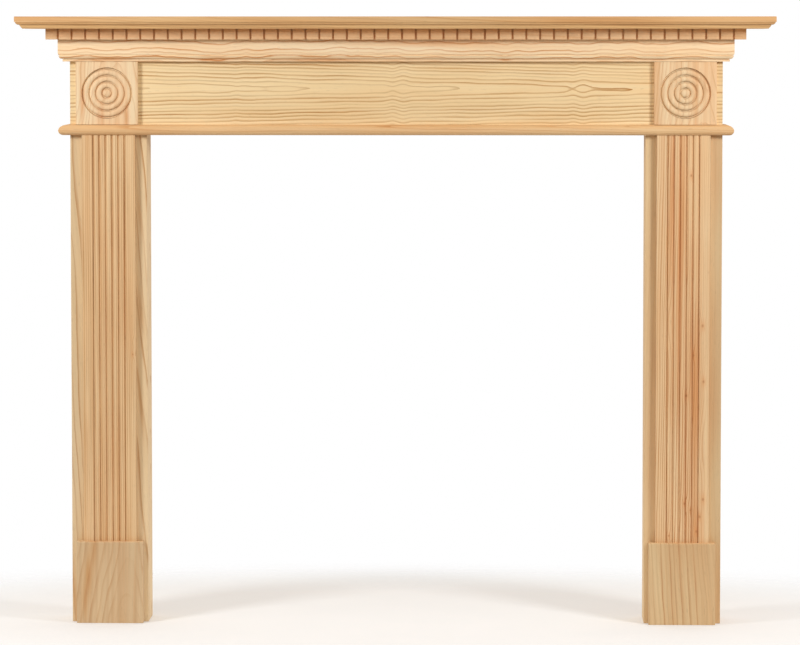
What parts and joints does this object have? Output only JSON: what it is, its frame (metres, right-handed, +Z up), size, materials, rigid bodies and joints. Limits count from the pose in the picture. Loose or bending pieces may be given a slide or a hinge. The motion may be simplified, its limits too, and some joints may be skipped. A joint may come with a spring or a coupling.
{
  "type": "fireplace mantelpiece",
  "caption": "Pine fireplace surround: moulded shelf over dentils and a cornice, plain frieze between turned corner blocks, reeded pilasters on plinths.",
  "frame": {"origin": "on the floor, in the middle of the width and of the depth of the shelf", "axes": "+X to the right as seen from the room, +Y towards the wall, +Z up"},
  "size_m": [1.372, 0.178, 1.1105],
  "materials": {
    "shelf_pine": "planed and sanded, unfinished, warm tan grain along the length",
    "dentil_pine": "sawn and sanded, unfinished, grain along the strip",
    "cornice_pine": "moulded and sanded, unfinished, pale peach with wavy grain",
    "frieze_pine": "planed and sanded, unfinished, pale straw with horizontal growth lines",
    "astragal_pine": "moulded and sanded, unfinished, warm tan",
    "block_pine": "turned and sanded, unfinished, pale peach with vertical grain",
    "leg_pine": "planed and sanded, unfinished, pale straw with long slanting growth lines",
    "pilaster_pine": "moulded and sanded, unfinished, peach with fine vertical grain",
    "plinth_pine": "planed and sanded, unfinished, tan with wide growth bands"
  },
  "bodies": {
    "root": {"shelf": "shelf_pine", "dentil_strip_front": "dentil_pine", "dentil_strip_left": "dentil_pine", "dentil_strip_right": "dentil_pine", "cornice_front": "cornice_pine", "cornice_left": "cornice_pine", "cornice_right": "cornice_pine", "frieze_board": "frieze_pine", "header_end_left": "frieze_pine", "header_end_right": "frieze_pine", "header_soffit": "leg_pine", "corner_block_left": "block_pine", "corner_block_right": "block_pine", "astragal_front": "astragal_pine", "astragal_left": "astragal_pine", "astragal_right": "astragal_pine", "leg_board_left": "leg_pine", "leg_board_right": "leg_pine", "leg_outer_left": "leg_pine", "leg_outer_right": "leg_pine", "leg_inner_left": "leg_pine", "leg_inner_right": "leg_pine", "pilaster_left": "pilaster_pine", "pilaster_right": "pilaster_pine", "plinth_left": "plinth_pine", "plinth_right": "plinth_pine"}
  },
  "joints": []
}
